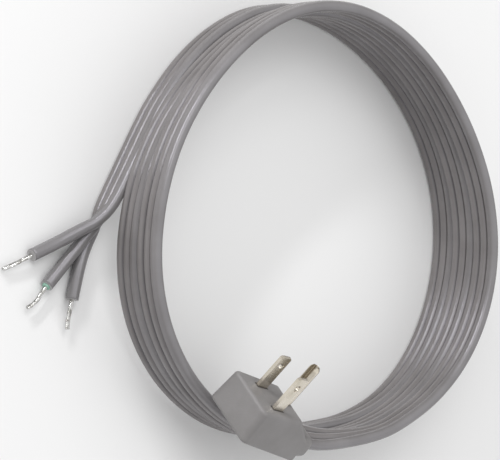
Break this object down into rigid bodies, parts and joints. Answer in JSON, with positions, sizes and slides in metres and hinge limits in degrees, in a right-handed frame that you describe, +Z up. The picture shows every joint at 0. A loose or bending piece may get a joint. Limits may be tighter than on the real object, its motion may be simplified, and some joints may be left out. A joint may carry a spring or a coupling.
{
  "type": "appliance power cord",
  "caption": "Flat grey appliance power cord lying in a coil, with an angled grounded plug moulded on one end and stripped wire leads at the other.",
  "frame": {"origin": "under the middle of the part's box, on the surface that the coil lies on", "axes": "+Z up from that surface, -X towards the stripped leads, -Y towards the side where the plug lies"},
  "size_m": [0.2388, 0.188, 0.0683],
  "materials": {
    "cord_jacket": "satin",
    "plug_moulding": "matte",
    "carrier": "matte",
    "prong": "brushed",
    "conductor": "tinned",
    "sleeve": "satin"
  },
  "bodies": {
    "root": {"plug_body": "plug_moulding", "blade_carrier": "carrier", "line_blade": "prong", "neutral_blade": "prong", "ground_pin": "prong", "plug_core_line": "cord_jacket", "plug_core_ground": "cord_jacket", "plug_core_neutral": "cord_jacket", "plug_conductor_line": "conductor", "plug_conductor_ground": "conductor", "plug_conductor_neutral": "conductor", "cord_at_plug": "cord_jacket", "cord_coil": "cord_jacket", "cord_tail": "cord_jacket", "line_lead": "cord_jacket", "ground_lead": "cord_jacket", "neutral_lead": "cord_jacket", "ground_sleeve": "sleeve", "line_conductor": "conductor", "ground_conductor": "conductor", "neutral_conductor": "conductor"}
  },
  "joints": []
}
